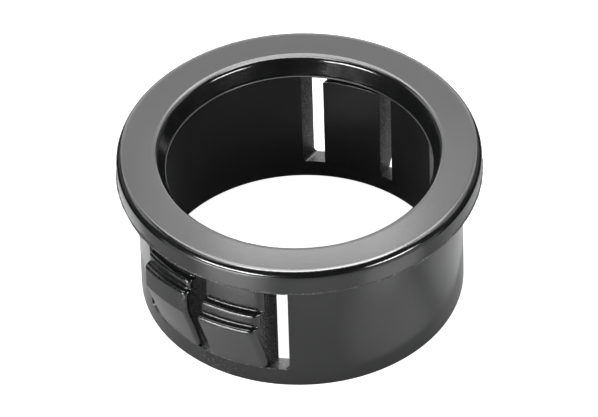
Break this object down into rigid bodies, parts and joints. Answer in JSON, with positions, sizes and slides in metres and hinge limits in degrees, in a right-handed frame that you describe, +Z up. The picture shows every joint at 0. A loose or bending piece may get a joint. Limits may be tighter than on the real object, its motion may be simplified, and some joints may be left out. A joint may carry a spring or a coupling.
{
  "type": "snap bushing",
  "caption": "Round snap-in cable bushing: a flanged ring with a smooth rounded throat and a slotted barrel whose stepped spring fingers grip behind a panel hole.",
  "frame": {"origin": "centre of the bottom rim, at the end of the barrel that goes through the panel", "axes": "+Z up the throat's axis towards the flange; the two finger pairs face -Y and +Y"},
  "size_m": [0.0248, 0.025, 0.0115],
  "materials": {
    "black_nylon": "satin black moulded nylon"
  },
  "bodies": {
    "root": {"snap_bushing": "black_nylon"}
  },
  "joints": []
}
